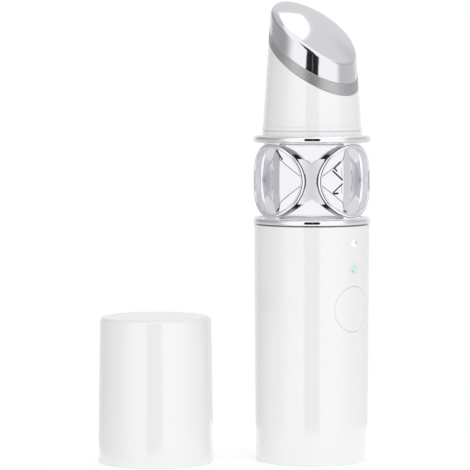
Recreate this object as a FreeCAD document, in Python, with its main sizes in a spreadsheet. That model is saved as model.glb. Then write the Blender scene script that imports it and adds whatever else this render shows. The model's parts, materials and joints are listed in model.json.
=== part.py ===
import FreeCAD, Part
import math
import os
import re
import Sketcher

# Heated eye massager wand, with its cap standing beside it.  Millimetres.
# The origin is the centre of the wand's foot, +Z runs up the wand, and the wand's
# front is -Y: the button, the lights and the low side of the slanted face are there.

SIZES = {
    # handle casing
    "casing_height": 65.5,
    "casing_top_radius": 15.9,
    "casing_draft": 0.5,
    "casing_wall": 1.5,
    "casing_end_wall": 1.8,
    "foot_rounding": 0.5,
    "seam_bevel": 0.2,
    "fit_gap": 0.05,
    # base cover and charging port
    "cover_recess": 0.4,
    "cover_thickness": 1.8,
    "cover_lip": 0.35,
    "port_width": 8.94,
    "port_depth": 3.26,
    "port_length": 7.35,
    "port_wall": 0.3,
    "port_corner": 1.56,
    "port_gap": 0.12,
    "tongue_width": 6.7,
    "tongue_thickness": 0.7,
    "tongue_length": 4.4,
    "charge_board_width": 14.0,
    "charge_board_height": 11.0,
    "board_thickness": 1.0,
    "post_width": 3.0,
    "post_height": 8.0,
    # button, switch and lights
    "button_pitch": 10.9,
    "button_radius": 6.1,
    "button_gap": 0.15,
    "button_travel": 0.35,
    "button_face": 1.3,
    "button_skirt": 1.0,
    "lug_reach": 0.8,
    "lug_width": 3.6,
    "lug_thickness": 0.8,
    "stem_radius": 2.0,
    "upper_light_drop": 4.8,
    "light_pitch": 7.1,
    "light_radius": 0.9,
    "light_collar_radius": 1.5,
    "light_collar_length": 0.9,
    "led_width": 1.6,
    "led_length": 0.9,
    "led_thickness": 0.7,
    "switch_width": 6.0,
    "switch_thickness": 3.5,
    "plunger_radius": 1.75,
    "plunger_rise": 1.1,
    "plunger_hidden": 1.0,
    # main board
    "board_setback": 5.4,
    "board_margin": 2.0,
    "board_lift": 2.1,
    "board_head_room": 1.0,
    "board_screw_drop": 3.4,
    "chip_gap": 0.2,
    "choke_radius": 2.2,
    "choke_height": 2.0,
    # battery and chassis
    "battery_margin": 0.3,
    "battery_cap_radius": 2.6,
    "battery_cap_rise": 0.8,
    "tab_width": 4.0,
    "tab_thickness": 0.2,
    "tab_setback": 2.0,
    "foam_gap": 1.1,
    "foam_thickness": 2.6,
    "chassis_wall": 1.2,
    "chassis_gap": 0.2,
    "chassis_lift": 2.2,
    "wire_room": 3.9,
    "rail_width": 1.6,
    "saddle_thickness": 1.4,
    "saddle_count": 3,
    "screw_radius": 0.8,
    "screw_head_radius": 1.6,
    "screw_head_height": 0.9,
    "screw_length": 4.2,
    # openwork cage and faceted core
    "flange_step": 0.3,
    "flange_thickness": 1.75,
    "flange_bevel": 0.42,
    "web_setback": 0.6,
    "web_thickness": 1.5,
    "crest_setback": 0.05,
    "pillar_half": 1.35,
    "hoop_margin": 0.33,
    "hoop_width": 1.24,
    "hoop_bevel": 0.42,
    "window_tip": 4.7,
    "window_shoulder": 6.1,
    "window_shoulder_half": 2.3,
    "window_flank_half": 5.5,
    "window_corner": 2.52,
    "window_side": 1.2,
    "window_rim": 0.1,
    "window_rounding": 0.55,
    "core_gap": 0.2,
    "strip_setback": 0.37,
    "strip_half": 1.8,
    "belt_half": 3.66,
    "break_lean": 2.0,
    "crown_neck": 5.5,
    "crown_dip": 0.22,
    "crown_flare": 7.1,
    "lens_turn": 15.5,
    "lens_setback": 0.615,
    "lens_lean": 6.6,
    # tie tube and its nuts
    "tube_radius": 2.2,
    "tube_wall": 0.4,
    "nut_radius": 4.2,
    "nut_height": 2.0,
    "tube_overhang": 0.5,
    "wire_radius": 0.4,
    "wire_bend": 0.9,
    "wire_spread": 1.9,
    # neck and its collar
    "cap_ledge": 2.45,
    "collar_height": 2.5,
    "collar_thickness": 1.1,
    "collar_groove_height": 1.4,
    "collar_groove": 0.3,
    "collar_step": 0.25,
    "neck_taper": 3.7,
    "neck_wall": 1.4,
    "neck_floor": 3.0,
    # slanted head
    "slant": 35.6,
    "neck_rise": 17.7,
    "ring_rise": 3.15,
    "ring_wall": 1.4,
    "ring_edge": 0.18,
    "head_wall": 0.9,
    "head_step": 0.08,
    "face_rise": 8.2,
    "crown_radius": 60.0,
    "face_rounding": 1.6,
    "film_margin": 4.9,
    "film_thickness": 0.3,
    "carrier_plate": 2.0,
    "carrier_wall": 1.0,
    "carrier_depth": 7.0,
    "thermistor_radius": 0.8,
    "thermistor_dip": 1.3,
    "sensor_gap": 1.8,
    # vibration motor
    "motor_radius": 3.5,
    "motor_cap_height": 1.2,
    "motor_clearance": 2.5,
    "shaft_radius": 0.5,
    "shaft_gap": 0.05,
    "shaft_reach": 3.8,
    "shaft_inside": 8.0,
    "weight_radius": 3.1,
    "weight_height": 2.8,
    "weight_lift": 0.6,
    "weight_clearance": 1.4,
    "weight_boss": 1.3,
    "sleeve_wall": 1.1,
    "sleeve_drop": 1.0,
    # cap
    "cap_x": -33.3,
    "cap_y": 27.6,
    "cap_headroom": 8.6,
    "cap_margin": 0.3,
    "cap_draft": 0.6,
    "cap_wall": 1.25,
    "cap_roof": 1.4,
    "cap_rounding": 1.1,
    "mouth_bevel": 0.25,
    "liner_gap": 0.1,
    "liner_height": 12.0,
    "liner_lift": 0.6,
    "grip_ridge": 0.1,
    # how far a cutting tool reaches past what it cuts
    "cut_over": 1.0,
}

# Lengths that follow from the sizes above, as formulas.
FORMULAS = {
    "casing_foot_radius": "casing_top_radius - casing_draft",
    "bore_radius": "casing_foot_radius - casing_wall",
    "casing_slope": "(casing_top_radius - casing_foot_radius) / casing_height",
    "upper_light_height": "casing_height - upper_light_drop",
    "lower_light_height": "upper_light_height - light_pitch",
    "button_height": "lower_light_height - button_pitch",
    "button_surface": "casing_foot_radius + casing_slope * button_height",
    "cover_radius": "bore_radius + cover_lip",
    "cover_top": "cover_recess + cover_thickness",
    "end_wall_foot": "casing_height - casing_end_wall",
    "cage_gap": "2 * (hoop_outer_radius + hoop_margin)",
    "window_top_half": "hoop_crest_radius * sin(45) - window_corner",
    "cage_foot": "casing_height",
    "cage_middle": "casing_height + flange_thickness + cage_gap / 2",
    "cage_top": "casing_height + 2 * flange_thickness + cage_gap",
    "core_foot": "casing_height + flange_thickness",
    "core_top": "core_foot + cage_gap",
    "flange_radius": "casing_top_radius + flange_step",
    "web_radius": "flange_radius - web_setback",
    "cage_bore_radius": "web_radius - web_thickness",
    "spigot_radius": "cage_bore_radius - fit_gap",
    "hoop_crest_radius": "flange_radius - crest_setback",
    "hoop_outer_radius": "hoop_crest_radius * sin(45) - pillar_half",
    "hoop_inner_radius": "hoop_outer_radius - hoop_width",
    "core_radius": "cage_bore_radius - core_gap",
    "strip_reach": "core_radius - strip_setback",
    "pillar_reach": "core_radius * cos(45)",
    "core_corner": "strip_reach + (strip_reach - pillar_reach) * strip_half"
                   " / (pillar_reach - strip_half)",
    "side_turn": "atan((strip_reach - pillar_reach) / (pillar_reach - strip_half)) / 1 deg",
    "collar_radius": "flange_radius - cap_ledge",
    "neck_foot_radius": "collar_radius - collar_step",
    "neck_floor_top": "core_top + neck_floor",
    "neck_foot": "cage_top + collar_height",
    "taper_rate": "tan(neck_taper)",
    "slant_rate": "tan(slant)",
    "ring_top": "slant_height + ring_rise",
    "switch_front": "board_front + switch_thickness",
    "plunger_front": "switch_front + plunger_rise",
    "board_front": "bore_radius - board_setback",
    "board_back": "board_front - board_thickness",
    "board_half": "sqrt(bore_radius * bore_radius - board_front * board_front) - board_margin",
    "board_width": "2 * board_half",
    "rail_inner": "board_half - 2 * screw_head_radius",
    "chip_side": "(rail_inner - chip_gap) / 1.12",
    "chassis_radius": "bore_radius - chassis_gap",
    "chassis_foot": "cover_top + charge_board_height + chassis_lift",
    "chassis_head": "end_wall_foot - wire_room",
    "battery_foot": "chassis_foot + chassis_wall + battery_cap_rise",
    "battery_head": "chassis_head - chassis_wall - battery_cap_rise",
    "battery_length": "battery_head - battery_foot",
    "battery_back": "chassis_radius - chassis_wall - battery_margin",
    "foam_front": "board_back - choke_height - foam_gap",
    "battery_radius": "(battery_back + foam_front - foam_thickness) / 2",
    "battery_offset": "battery_back - battery_radius",
    "board_foot": "chassis_foot + board_lift",
    "board_head": "end_wall_foot - board_head_room",
    "slant_height": "neck_foot + neck_rise",
    "face_height": "ring_top + face_rise",
    "film_radius": "neck_foot_radius - film_margin",
    "thermistor_offset": "sleeve_radius + carrier_wall + sensor_gap",
    "plate_depth": "head_wall + film_thickness + 2 * fit_gap + carrier_plate",
    "plate_foot": "face_height - plate_depth / cos(slant)",
    "weight_head": "plate_foot - weight_radius * slant_rate - weight_clearance",
    "weight_foot": "weight_head - weight_height",
    "motor_can_head": "weight_foot - weight_lift",
    "tube_foot": "end_wall_foot - nut_height - tube_overhang",
    "tube_head": "neck_floor_top + nut_height + tube_overhang",
    "motor_foot": "tube_head + motor_clearance",
    "motor_can_foot": "motor_foot + motor_cap_height",
    "cap_height": "collar_height + neck_rise + ring_rise + face_rise + cap_headroom",
    "sleeve_radius": "motor_radius + sleeve_wall",
    "tube_bore": "tube_radius + fit_gap",
    "cap_mouth_radius": "flange_radius - cap_margin",
    "cap_top_radius": "cap_mouth_radius - cap_draft",
}

FAR = 40.0  # reach of the cutting slabs, well past the widest piece

doc = FreeCAD.newDocument("eye_massager_wand")
sheet = doc.addObject("Spreadsheet::Sheet", "Sizes")
for row, (alias, number) in enumerate(SIZES.items(), start=1):
    sheet.set("A%d" % row, str(number))
    sheet.setAlias("A%d" % row, alias)
doc.recompute()


def formula(text):
    """A FreeCAD expression: formula names are written out, sizes point to the sheet."""
    def written_out(match):
        name = match.group()
        return "(%s)" % FORMULAS[name] if name in FORMULAS else name

    def in_sheet(match):
        name = match.group()
        return "Sizes." + name if name in SIZES else name

    text = str(text)
    word = re.compile(r"[a-z][a-z_]+")
    while any(name in FORMULAS for name in word.findall(text)):
        text = word.sub(written_out, text)
    return word.sub(in_sheet, text)


def value(text):
    """The number that a formula gives now."""
    return float(sheet.evalExpression(formula(text)))


def bind(thing, **properties):
    """Bind properties to formulas; two underscores stand for a dot."""
    for name, text in properties.items():
        thing.setExpression(name.replace("__", "."), formula(text))
    return thing


# ---- PartDesign: sketches and features in a body ----

def new_body(name):
    body = doc.addObject("PartDesign::Body", name)
    body.Label = name
    return body


def new_sketch(body, name, plane, offset="0", turn=0):
    """A sketch on one of the body's own planes, turned about the plane's second axis and
    then moved along its normal by offset."""
    sketch = body.newObject("Sketcher::SketchObject", name)
    support = [part for part in body.Origin.OriginFeatures if part.Role == plane][0]
    sketch.AttachmentSupport = [(support, "")]
    sketch.MapMode = "FlatFace"
    sketch.AttachmentOffset = FreeCAD.Placement(
        FreeCAD.Vector(), FreeCAD.Rotation(FreeCAD.Vector(0, 1, 0), turn))
    bind(sketch, AttachmentOffset__Base__x="(%s) * sin(%s)" % (offset, turn),
         AttachmentOffset__Base__z="(%s) * cos(%s)" % (offset, turn))
    return sketch


def pin_point(sketch, geometry, place, x, y):
    """Tie one point of a sketch to two formulas."""
    for kind, text in (("DistanceX", x), ("DistanceY", y)):
        index = sketch.addConstraint(Sketcher.Constraint(kind, geometry, place, value(text)))
        sketch.setExpression("Constraints[%d]" % index, formula(text))


def draw_outline(sketch, points):
    """A closed outline of straight lines through points, each tied to the sheet."""
    corners = [FreeCAD.Vector(value(x), value(y), 0) for x, y in points]
    first = sketch.GeometryCount
    count = len(points)
    for i, corner in enumerate(corners):
        sketch.addGeometry(Part.LineSegment(corner, corners[(i + 1) % count]))
    for i in range(count):
        following = first + (i + 1) % count
        sketch.addConstraint(Sketcher.Constraint("Coincident", first + i, 2, following, 1))
    for i, (x, y) in enumerate(points):
        pin_point(sketch, first + i, 1, x, y)
    return sketch


def draw_circle(sketch, x, y, radius):
    """A circle whose centre and radius are tied to the sheet."""
    centre = FreeCAD.Vector(value(x), value(y), 0)
    circle = sketch.addGeometry(Part.Circle(centre, FreeCAD.Vector(0, 0, 1), value(radius)))
    pin_point(sketch, circle, 3, x, y)
    index = sketch.addConstraint(Sketcher.Constraint("Radius", circle, value(radius)))
    sketch.setExpression("Constraints[%d]" % index, formula(radius))
    return sketch


def rectangle(x_low, x_high, y_low, y_high):
    return [(x_low, y_low), (x_high, y_low), (x_high, y_high), (x_low, y_high)]


def add_feature(body, kind, sketch, **properties):
    feature = body.newObject("PartDesign::" + kind, "%s_%s" % (sketch.Name, kind.lower()))
    feature.Profile = sketch
    sketch.Visibility = False
    return bind(feature, **properties)


def pad(body, sketch, length, backwards=False, both_ways=False):
    feature = add_feature(body, "Pad", sketch, Length=length)
    feature.Reversed = backwards
    feature.Midplane = both_ways
    doc.recompute()
    return feature


def pocket(body, sketch, length=None, backwards=False, both_ways=False):
    """A cut along the sketch's normal; with no length it goes through all."""
    before = body.Shape.Volume
    feature = add_feature(body, "Pocket", sketch)
    if length is None:
        feature.Type = "ThroughAll"
    else:
        bind(feature, Length=length)
    feature.Reversed = backwards
    feature.Midplane = both_ways
    doc.recompute()
    if body.Shape.Volume > before - 1e-6:
        raise RuntimeError("%s cuts nothing" % feature.Name)
    return feature


def revolve(body, sketch):
    feature = add_feature(body, "Revolution", sketch)
    feature.ReferenceAxis = (sketch, ["V_Axis"])
    feature.Angle = 360
    doc.recompute()
    return feature


def polar_pattern(body, features, count):
    """Copies of features round the body's upright axis."""
    pattern = body.newObject("PartDesign::PolarPattern", features[0].Name + "_round")
    pattern.Originals = features
    axis = [part for part in body.Origin.OriginFeatures if part.Role == "Z_Axis"][0]
    pattern.Axis = (axis, [""])
    pattern.Angle = 360
    pattern.Occurrences = count
    body.Tip = pattern
    doc.recompute()
    return pattern


def dress(body, kind, size, wanted):
    """A fillet or chamfer on the edges of the body that wanted() picks."""
    tip = body.Tip
    names = ["Edge%d" % i for i, edge in enumerate(tip.Shape.Edges, start=1) if wanted(edge)]
    if not names:
        raise RuntimeError("%s has no edge for its %s" % (body.Name, kind))
    feature = body.newObject("PartDesign::" + kind, "%s_%s" % (tip.Name, kind.lower()))
    feature.Base = (tip, names)
    bind(feature, **{"Radius" if kind == "Fillet" else "Size": size})
    doc.recompute()
    return feature


def rim_at(height, radius):
    """A test for the round edge at this height and radius about the upright axis."""
    def test(edge):
        box = edge.BoundBox
        flat = abs(box.ZMin - value(height)) < 1e-3 and abs(box.ZMax - value(height)) < 1e-3
        return flat and abs(box.XMax - value(radius)) < 1e-3
    return test


def runs_along(direction):
    """A test for straight edges that run along x, y or z."""
    def test(edge):
        if not isinstance(edge.Curve, Part.Line):
            return False
        box = edge.BoundBox
        spans = {"x": box.XLength, "y": box.YLength, "z": box.ZLength}
        return spans[direction] > 0.99 * edge.Length
    return test


def turned_body(name, points):
    """A body turned about the upright axis from an outline of (radius, height) points."""
    body = new_body(name)
    sketch = draw_outline(new_sketch(body, name + "_section", "XZ_Plane"), points)
    revolve(body, sketch)
    return body


def block_body(name, x, y, z):
    """A box between pairs of formulas for its low and high sides."""
    body = new_body(name)
    sketch = draw_outline(new_sketch(body, name + "_plan", "XY_Plane", z[0]), rectangle(*x, *y))
    pad(body, sketch, "(%s) - (%s)" % (z[1], z[0]))
    return body


# ---- Part: primitives and booleans ----

def solid(kind, name, **properties):
    return bind(doc.addObject("Part::" + kind, name), **properties)


def upright_cylinder(name, radius, foot, head, x="0", y="0"):
    return solid("Cylinder", name, Radius=radius, Height="(%s) - (%s)" % (head, foot),
                 Placement__Base__x=x, Placement__Base__y=y, Placement__Base__z=foot)


def front_cylinder(name, radius, near, far, height, x="0"):
    """A cylinder that points to the front, from y = -near to y = -far."""
    rod = solid("Cylinder", name, Radius=radius, Height="(%s) - (%s)" % (far, near),
                Placement__Base__x=x, Placement__Base__y="-(%s)" % near,
                Placement__Base__z=height)
    rod.Placement.Rotation = FreeCAD.Rotation(FreeCAD.Vector(1, 0, 0), 90)
    return rod


def box(name, x, y, z):
    lengths = ["(%s) - (%s)" % (high, low) for low, high in (x, y, z)]
    return solid("Box", name, Length=lengths[0], Width=lengths[1], Height=lengths[2],
                 Placement__Base__x=x[0], Placement__Base__y=y[0], Placement__Base__z=z[0])


def cut(name, base, tool):
    result = doc.addObject("Part::Cut", name)
    result.Base = base
    result.Tool = tool
    return result


def common(name, *shapes):
    result = doc.addObject("Part::MultiCommon", name)
    result.Shapes = list(shapes)
    return result


def fuse(name, *shapes):
    result = doc.addObject("Part::MultiFuse", name)
    result.Shapes = list(shapes)
    return result


def chamfered(name, base, size, wanted):
    """A chamfer on the edges of the base that wanted() picks."""
    result = doc.addObject("Part::Chamfer", name)
    result.Base = base
    reach = value(size)
    result.Edges = [(i, reach, reach) for i, edge in enumerate(base.Shape.Edges, start=1)
                    if wanted(edge)]
    return result


def group(name, *shapes):
    """Separate solids that share one node."""
    result = doc.addObject("Part::Compound", name)
    result.Links = list(shapes)
    return result


# ---- handle casing and base ----

def make_handle_casing():
    seat = "cover_recess + cover_thickness"
    body = turned_body("handle_casing", [
        ("cover_radius + fit_gap", "0"),
        ("casing_foot_radius", "0"),
        ("casing_top_radius", "casing_height"),
        ("spigot_radius", "casing_height"),
        ("spigot_radius", "core_foot"),
        ("tube_bore", "core_foot"),
        ("tube_bore", "end_wall_foot"),
        ("bore_radius", "end_wall_foot"),
        ("bore_radius", seat),
        ("cover_radius + fit_gap", seat)])
    dress(body, "Fillet", "foot_rounding", rim_at("0", "casing_foot_radius"))
    dress(body, "Chamfer", "seam_bevel", rim_at("casing_height", "casing_top_radius"))
    holes = new_sketch(body, "front_holes", "XZ_Plane")
    draw_circle(holes, "0", "button_height", "button_radius + button_gap")
    draw_circle(holes, "0", "upper_light_height", "light_radius + fit_gap")
    draw_circle(holes, "0", "lower_light_height", "light_radius + fit_gap")
    pocket(body, holes, backwards=True)
    return body


def make_base_cover():
    body = turned_body("base_cover", [
        ("0", "cover_recess"),
        ("cover_radius", "cover_recess"),
        ("cover_radius", "cover_top"),
        ("0", "cover_top")])
    dress(body, "Chamfer", "seam_bevel", rim_at("cover_recess", "cover_radius"))
    half_board = "charge_board_width / 2 + fit_gap"
    for side, name in ((1, "right_post"), (-1, "left_post")):
        inner = "%d * (%s - post_width / 2)" % (side, half_board)
        outer = "%d * (%s + post_width / 2)" % (side, half_board)
        plan = new_sketch(body, name, "XY_Plane", "cover_top")
        low, high = (inner, outer) if side > 0 else (outer, inner)
        draw_outline(plan, rectangle(low, high, "port_depth / 2 - post_width / 2",
                                     "port_depth / 2 + board_thickness + post_width / 2"))
        pad(body, plan, "post_height")
    port = new_sketch(body, "port_opening", "XY_Plane")
    half_width = "port_width / 2 + port_gap"
    half_depth = "port_depth / 2 + port_gap"
    draw_outline(port, rectangle("-(%s)" % half_width, half_width,
                                 "-(%s)" % half_depth, half_depth))
    pocket(body, port, "cover_top + post_height", backwards=True)
    slot = new_sketch(body, "board_slot", "XY_Plane", "cover_top")
    draw_outline(slot, rectangle("-(%s)" % half_board, half_board, "port_depth / 2 - fit_gap",
                                 "port_depth / 2 + board_thickness + fit_gap"))
    pocket(body, slot, "post_height", backwards=True)
    upright = runs_along("z")
    reach = value("port_width / 2 + 2 * port_gap")
    top = value("cover_top")
    dress(body, "Fillet", "port_corner",
          lambda edge: (upright(edge) and abs(edge.CenterOfMass.x) < reach
                        and edge.CenterOfMass.z < top))
    return body


def make_charging_port():
    foot = "cover_recess + port_gap"
    head = "%s + port_length" % foot
    shell = block_body("charging_socket", ("-port_width / 2", "port_width / 2"),
                       ("-port_depth / 2", "port_depth / 2"), (foot, head))
    dress(shell, "Fillet", "port_corner", runs_along("z"))
    hollow = new_sketch(shell, "socket_hollow", "XY_Plane", foot)
    half_width = "port_width / 2 - port_depth / 2"
    draw_outline(hollow, rectangle("-(%s)" % half_width, half_width,
                                   "port_wall - port_depth / 2", "port_depth / 2 - port_wall"))
    pocket(shell, hollow, "port_length - port_wall", backwards=True)
    for side in (-1, 1):
        end = new_sketch(shell, "socket_end", "XY_Plane", foot)
        draw_circle(end, "%d * (%s)" % (side, half_width), "0", "port_depth / 2 - port_wall")
        pocket(shell, end, "port_length - port_wall", backwards=True)
    tongue_head = "%s - port_wall" % head
    tongue = block_body("socket_tongue", ("-tongue_width / 2", "tongue_width / 2"),
                        ("-tongue_thickness / 2", "tongue_thickness / 2"),
                        ("%s - tongue_length - port_wall" % head, tongue_head))
    root = new_sketch(tongue, "tongue_root", "XY_Plane", "%s - port_wall" % tongue_head)
    draw_outline(root, rectangle("-tongue_width / 2", "tongue_width / 2",
                                 "port_wall - port_depth / 2 + fit_gap",
                                 "port_depth / 2 - port_wall - fit_gap"))
    pad(tongue, root, "port_wall")
    board = block_body("charging_board", ("-charge_board_width / 2", "charge_board_width / 2"),
                       ("port_depth / 2", "port_depth / 2 + board_thickness"),
                       ("cover_top", "cover_top + charge_board_height"))
    return [shell, tongue, board]


# ---- button, switch and lights ----

def make_power_button():
    """The face is cut from the casing's own cone, so it is flush with the wall round it."""
    surface = solid("Cone", "button_cone", Radius1="casing_foot_radius",
                    Radius2="casing_top_radius", Height="casing_height")
    skirt_foot = "switch_front + button_travel + button_gap * 2"
    plug = front_cylinder("button_plug", "button_radius", skirt_foot, "button_surface + cut_over",
                          "button_height")
    hollow = front_cylinder("button_hollow", "button_radius - button_skirt", "board_front",
                            "button_surface - button_face", "button_height")
    stem = front_cylinder("button_stem", "stem_radius", "plunger_front",
                          "button_surface - button_face / 2", "button_height")
    lug_front = "bore_radius - button_gap - lug_width * lug_width / (8 * bore_radius)"
    lug = box("button_lugs", ("-lug_width / 2", "lug_width / 2"),
              ("-(%s)" % lug_front, "lug_thickness - (%s)" % lug_front),
              ("button_height - button_radius - lug_reach",
               "button_height + button_radius + lug_reach"))
    lug_gap = front_cylinder("button_lug_gap", "button_radius - button_skirt / 2",
                             "board_front", "button_surface + cut_over", "button_height")
    cup = cut("button_cup", common("button_face_plug", plug, surface), hollow)
    return fuse("power_button", cup, stem, cut("button_lug_ends", lug, lug_gap))


def make_switch():
    half = "switch_width / 2"
    switch = new_body("tact_switch")
    outline = new_sketch(switch, "switch_outline", "XZ_Plane", "board_front")
    draw_outline(outline, rectangle("-" + half, half, "button_height - " + half,
                                    "button_height + " + half))
    pad(switch, outline, "switch_thickness")
    well = new_sketch(switch, "plunger_well", "XZ_Plane", "switch_front")
    draw_circle(well, "0", "button_height", "plunger_radius + button_gap")
    pocket(switch, well, "plunger_hidden + button_travel + button_gap")
    dress(switch, "Chamfer", "seam_bevel", runs_along("y"))
    plunger = new_body("switch_plunger")
    rod = new_sketch(plunger, "plunger_section", "XZ_Plane", "switch_front - plunger_hidden")
    draw_circle(rod, "0", "button_height", "plunger_radius")
    pad(plunger, rod, "plunger_hidden + plunger_rise")
    return [switch, plunger]


def make_light_guide(name, height):
    """A clear rod from the lamp to the casing's face, with a collar behind the wall."""
    body = new_body(name)
    foot = "board_front + led_thickness + fit_gap"
    face = "casing_foot_radius + casing_slope * %s" % height
    rod = new_sketch(body, name + "_rod", "XZ_Plane", foot)
    draw_circle(rod, "0", height, "light_radius")
    pad(body, rod, "%s - (%s)" % (face, foot))
    collar_front = "bore_radius - light_collar_radius * light_collar_radius / bore_radius"
    collar = new_sketch(body, name + "_collar", "XZ_Plane",
                        "%s - light_collar_length" % collar_front)
    draw_circle(collar, "0", height, "light_collar_radius")
    pad(body, collar, "light_collar_length")
    return body


def make_indicator_leds():
    lamps = []
    for name, height in (("upper_led", "upper_light_height"), ("lower_led", "lower_light_height")):
        lamps.append(box(name, ("-led_width / 2", "led_width / 2"),
                         ("-board_front - led_thickness", "-board_front"),
                         ("%s - led_length / 2" % height, "%s + led_length / 2" % height)))
    return group("indicator_leds", *lamps)


# ---- board, battery and chassis ----

def make_main_board():
    body = new_body("main_board")
    outline = new_sketch(body, "board_outline", "XZ_Plane", "board_back")
    draw_outline(outline, rectangle("-board_width / 2", "board_width / 2",
                                    "board_foot", "board_head"))
    pad(body, outline, "board_thickness")
    holes = new_sketch(body, "board_screw_holes", "XZ_Plane", "board_front")
    for x, z in screw_places():
        draw_circle(holes, x, z, "screw_radius + fit_gap * 2")
    pocket(body, holes, "board_thickness")
    dress(body, "Fillet", "screw_radius", runs_along("y"))
    return body


def screw_places():
    """The four screws of the board, near its corners."""
    low = "board_foot + board_screw_drop"
    high = "chassis_head - board_screw_drop"
    x = "board_width / 2 - screw_head_radius"
    return [("-(%s)" % x, low), (x, low), ("-(%s)" % x, high), (x, high)]


def make_board_chips():
    """Controller, charger, driver and capacitors on the side that faces the battery, each as
    middle x, middle height from the button's, width, length and rise, in chip sides."""
    chips = {
        "controller": (0, 1.24, 1, 1, 0.18),
        "charger": (-0.9, -2.16, 0.6, 0.6, 0.16),
        "driver": (0.9, -0.98, 0.6, 0.56, 0.22),
        "big_capacitor": (0.8, -3.1, 0.64, 0.32, 0.32),
        "small_capacitor": (-0.96, -0.78, 0.32, 0.16, 0.16),
    }
    parts = []
    for name, (x, z, width, length, rise) in chips.items():
        parts.append(box(
            name,
            ("%s * chip_side" % (x - width / 2), "%s * chip_side" % (x + width / 2)),
            ("-board_back", "%s * chip_side - board_back" % rise),
            ("button_height + %s * chip_side" % (z - length / 2),
             "button_height + %s * chip_side" % (z + length / 2))))
    choke = front_cylinder("choke", "choke_radius", "board_back - choke_height", "board_back",
                           "button_height - 5 * choke_radius", "-choke_radius / 2")
    return group("board_chips", choke, *parts)


def make_battery():
    axis = {"x": "0", "y": "battery_offset"}
    cap_head = "battery_head + battery_cap_rise"
    can = upright_cylinder("battery_can", "battery_radius", "battery_foot", "battery_head", **axis)
    cap = upright_cylinder("battery_cap", "battery_cap_radius", "battery_head",
                           "%s - tab_thickness" % cap_head, **axis)
    cell = fuse("battery_cell", can, cap)
    tabs = []
    front = "tab_setback - board_back"
    for name, foot, top, end in (
            ("upper_tab", "%s - tab_thickness" % cap_head, cap_head, -1),
            ("lower_tab", "battery_foot - tab_thickness", "battery_foot", 1)):
        strap = box(name, ("-tab_width / 2", "tab_width / 2"),
                    (front, "battery_offset + tab_width / 2"), (foot, top))
        fold_low, fold_high = (top, "%s + tab_width" % top)
        if end < 0:
            fold_low, fold_high = ("%s - tab_width" % foot, foot)
        fold = box(name + "_fold", ("-tab_width / 2", "tab_width / 2"),
                   (front, "%s + tab_thickness" % front), (fold_low, fold_high))
        tabs.append(fuse(name + "_strip", strap, fold))
    foam_block = box("foam_block", ("-tab_width", "tab_width"),
                     ("-(foam_front)", "battery_offset"),
                     ("battery_foot + 2 * tab_width", "battery_head - 2 * tab_width"))
    seat = upright_cylinder("foam_seat", "battery_radius + fit_gap", "battery_foot",
                            "battery_head", **axis)
    foam = cut("foam_pad", foam_block, seat)
    return [cell, group("battery_tabs", *tabs), foam]


def make_chassis():
    """A half-round moulding with end walls, saddles for the cell and rails for the board."""
    wall = "chassis_radius - chassis_wall"
    shell = cut("chassis_shell",
                upright_cylinder("chassis_round", "chassis_radius", "chassis_foot", "chassis_head"),
                upright_cylinder("chassis_inside", wall, "chassis_foot + chassis_wall",
                                 "chassis_head - chassis_wall"))
    saddles = []
    for i in range(int(value("saddle_count"))):
        middle = "battery_foot + battery_length * %s / (2 * saddle_count)" % (2 * i + 1)
        saddles.append(upright_cylinder("saddle_%d" % i, "chassis_radius - chassis_wall / 2",
                                        "%s - saddle_thickness / 2" % middle,
                                        "%s + saddle_thickness / 2" % middle))
    rails = []
    for side, name in ((1, "right_rail"), (-1, "left_rail")):
        inner = "%d * rail_inner" % side
        outer = "%d * (board_half + rail_width)" % side
        low, high = (inner, outer) if side > 0 else (outer, inner)
        rails.append(box(name, (low, high), ("-board_back", "rail_width * 2 - board_back"),
                         ("chassis_foot", "chassis_head")))
    whole = fuse("chassis_whole", shell, *saddles,
                 common("chassis_rails", fuse("rail_pair", *rails),
                        upright_cylinder("rail_limit", "chassis_radius", "chassis_foot",
                                         "chassis_head")))
    past_foot = "chassis_foot - cut_over"
    past_head = "chassis_head + cut_over"
    front = box("chassis_front", (-FAR, FAR), (-FAR, "-board_back"), (past_foot, past_head))
    trough = upright_cylinder("battery_trough", "battery_radius + fit_gap * 2",
                              "chassis_foot + chassis_wall", "chassis_head - chassis_wall",
                              "0", "battery_offset")
    way_in = box("battery_way_in", ("-battery_radius - fit_gap * 2", "battery_radius + fit_gap * 2"),
                 (-FAR, "battery_offset"),
                 ("chassis_foot + chassis_wall", "chassis_head - chassis_wall"))
    lead_notch = upright_cylinder("lead_notch", "nut_radius", past_foot, past_head,
                                  "0", "-board_back")
    pilots = [front_cylinder("pilot_%d" % i, "screw_radius + fit_gap", "board_back - screw_length",
                             "board_back + cut_over", z, x)
              for i, (x, z) in enumerate(screw_places())]
    return cut("chassis", whole, fuse("chassis_cuts", front, trough, way_in, lead_notch, *pilots))


def make_chassis_screws():
    screws = []
    for i, (x, z) in enumerate(screw_places()):
        head = front_cylinder("screw_head_%d" % i, "screw_head_radius", "board_front",
                              "board_front + screw_head_height", z, x)
        shank = front_cylinder("screw_shank_%d" % i, "screw_radius",
                               "board_front + fit_gap * 2 - screw_length", "board_front", z, x)
        screws.append(fuse("screw_%d" % i, head, shank))
    return group("chassis_screws", *screws)


# ---- openwork cage, faceted core, tie tube ----

def make_flange(name, foot):
    body = turned_body(name, [
        ("cage_bore_radius", foot),
        ("flange_radius", foot),
        ("flange_radius", "%s + flange_thickness" % foot),
        ("cage_bore_radius", "%s + flange_thickness" % foot)])
    for height in (foot, "%s + flange_thickness" % foot):
        dress(body, "Chamfer", "flange_bevel", rim_at(height, "flange_radius"))
    return body


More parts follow.
